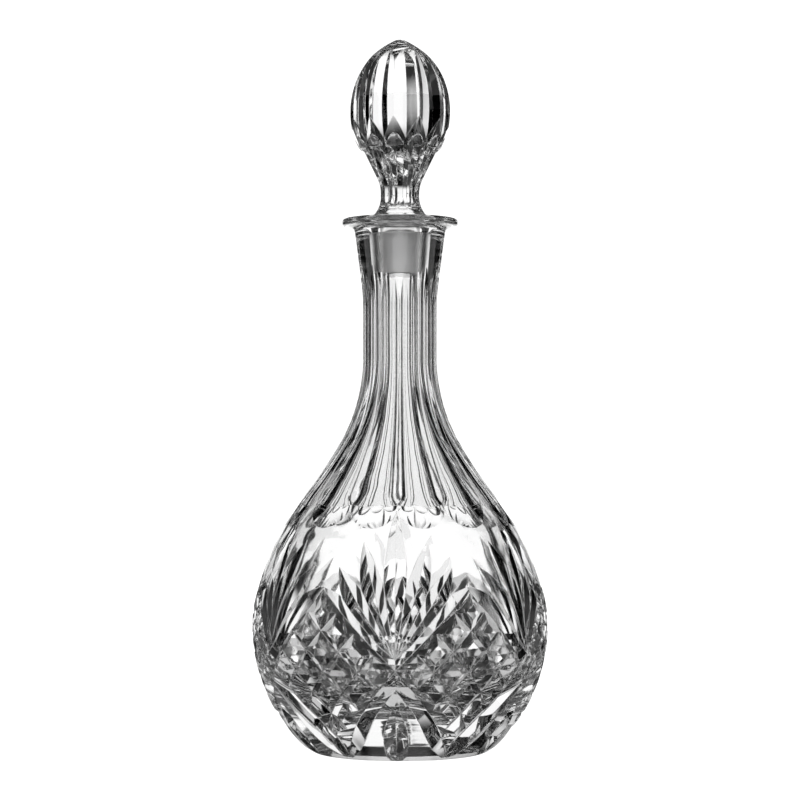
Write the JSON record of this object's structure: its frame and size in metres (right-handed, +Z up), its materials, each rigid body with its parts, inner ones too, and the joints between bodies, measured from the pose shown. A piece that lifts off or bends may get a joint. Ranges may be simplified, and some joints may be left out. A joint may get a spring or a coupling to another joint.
{
  "type": "wine decanter",
  "caption": "Cut crystal wine decanter with a round globe body, diamond and fan cuts, a fluted neck, a flat lip and a faceted egg-shaped glass stopper.",
  "frame": {"origin": "centre of the foot, on the plane the decanter stands on", "axes": "+Z up along the axis of bottle and stopper; -Y is the front, with one fan facing it within 2 degrees"},
  "size_m": [0.1348, 0.1326, 0.3251],
  "materials": {
    "crystal": "polished clear crystal, ground matt on the stopper's plug and in the neck's socket"
  },
  "bodies": {
    "bottle": {"decanter": "crystal"},
    "stopper": {"stopper": "crystal"}
  },
  "joints": [
    {"name": "stopper_lift", "type": "slide", "parent": "bottle", "child": "stopper", "axis": [0, 0, 1], "range_m": [0, 0.1]}
  ]
}
